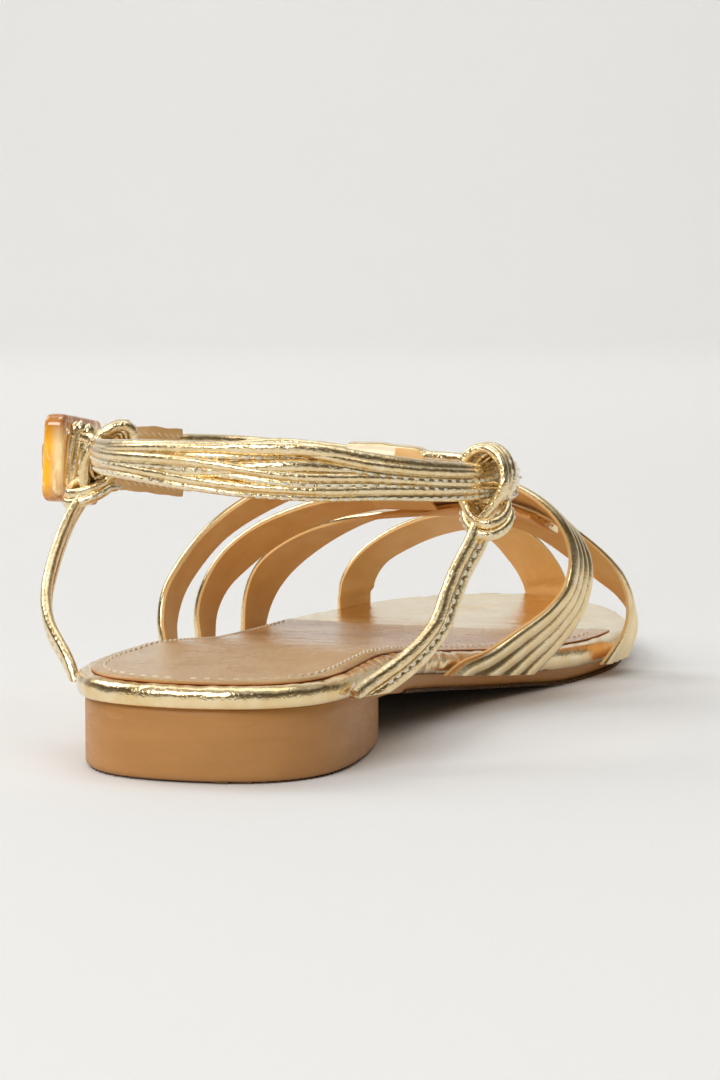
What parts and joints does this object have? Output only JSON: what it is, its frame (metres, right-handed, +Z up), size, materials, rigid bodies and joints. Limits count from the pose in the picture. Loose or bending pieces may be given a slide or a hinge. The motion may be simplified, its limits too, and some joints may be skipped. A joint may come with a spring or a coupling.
{
  "type": "huarache sandal",
  "caption": "Gold strappy flat sandal for a left foot: ribbed straps joined over the foot, corded ankle strap with a buckle, footbed and low heel.",
  "frame": {"origin": "on the floor, at the back of the heel's flat bottom, midway across", "axes": "+Z up, +Y towards the toe, +X towards the inner side of the foot"},
  "size_m": [0.1089, 0.246, 0.0663],
  "materials": {
    "outsole": "moulded tan resin, semi-matt",
    "gold_leather": "champagne gold foil leather, shiny",
    "sock": "tan, smooth and slightly glossy",
    "gold_cord": "gold foil cords, shiny, stitched",
    "tab_leather": "tan leather with a gold foil face",
    "amber": "glossy amber with a gold rim",
    "gold_metal": "bright pale gold"
  },
  "bodies": {
    "root": {"outsole": "outsole", "footbed": "gold_leather", "sock": "sock", "upper": "gold_leather", "toe_strap": "gold_leather", "keeper_loop": "gold_leather", "ankle_strap": "gold_cord", "ankle_tab": "tab_leather", "side_strap_medial": "gold_cord", "side_strap_lateral": "gold_cord", "buckle_frame": "amber", "buckle_prong": "gold_metal"}
  },
  "joints": []
}
